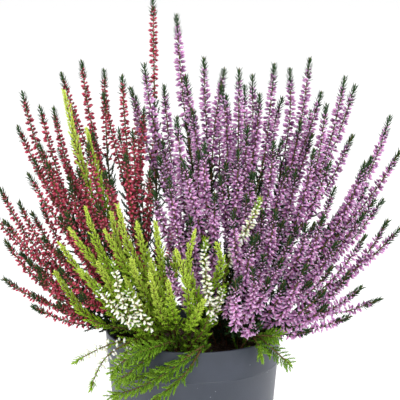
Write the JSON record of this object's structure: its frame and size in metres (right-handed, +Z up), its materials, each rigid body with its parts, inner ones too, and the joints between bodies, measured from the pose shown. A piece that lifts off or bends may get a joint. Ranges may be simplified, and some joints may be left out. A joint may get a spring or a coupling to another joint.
{
  "type": "potted heather",
  "caption": "Bushy pot plant: upright bud spikes in crimson, mauve and white with lime-green foliage, in soil in a plain round tapered pot, dark slate.",
  "frame": {"origin": "centre of the pot's flat base, on the surface it stands on", "axes": "+Z up, -Y towards the viewer of the picture, +X to the viewer's right"},
  "size_m": [0.3068, 0.2337, 0.374],
  "materials": {
    "pot": "slate grey moulded plastic with a soft sheen",
    "soil": "dark moist peat",
    "red": "crimson closed buds on green leafy stems, matt",
    "pink": "mauve closed buds on green leafy stems, matt",
    "white": "creamy white closed buds on lime leafy stems, matt",
    "lime": "lime yellow-green scale leaves, matt",
    "brush": "mid-green leafy shoots on red-brown stems, matt"
  },
  "bodies": {
    "root": {"brush_spray_01": "brush", "brush_spray_02": "brush", "brush_spray_03": "brush", "lime_spray_01": "lime", "lime_spray_02": "lime", "lime_spray_03": "lime", "lime_spray_04": "lime", "lime_spray_05": "lime", "lime_spray_06": "lime", "pink_spray_01": "pink", "pink_spray_02": "pink", "pink_spray_03": "pink", "pink_spray_04": "pink", "pink_spray_05": "pink", "pink_spray_06": "pink", "pink_spray_07": "pink", "pink_spray_08": "pink", "pink_spray_09": "pink", "pink_spray_10": "pink", "pink_spray_11": "pink", "pink_spray_12": "pink", "pink_spray_13": "pink", "pink_spray_14": "pink", "pink_spray_15": "pink", "pink_spray_16": "pink", "pink_spray_17": "pink", "pink_spray_18": "pink", "pink_spray_19": "pink", "pink_spray_20": "pink", "pink_spray_21": "pink", "pink_spray_22": "pink", "pink_spray_23": "pink", "pink_spray_24": "pink", "pink_spray_25": "pink", "pink_spray_26": "pink", "pink_spray_27": "pink", "pink_spray_28": "pink", "pot": "pot", "red_spray_01": "red", "red_spray_02": "red", "red_spray_03": "red", "red_spray_04": "red", "red_spray_05": "red", "red_spray_06": "red", "red_spray_07": "red", "red_spray_08": "red", "red_spray_09": "red", "red_spray_10": "red", "red_spray_11": "red", "red_spray_12": "red", "red_spray_13": "red", "red_spray_14": "red", "red_spray_15": "red", "red_spray_16": "red", "red_spray_17": "red", "soil": "soil", "white_spray_01": "white", "white_spray_02": "white", "white_spray_03": "white", "white_spray_04": "white"}
  },
  "joints": []
}
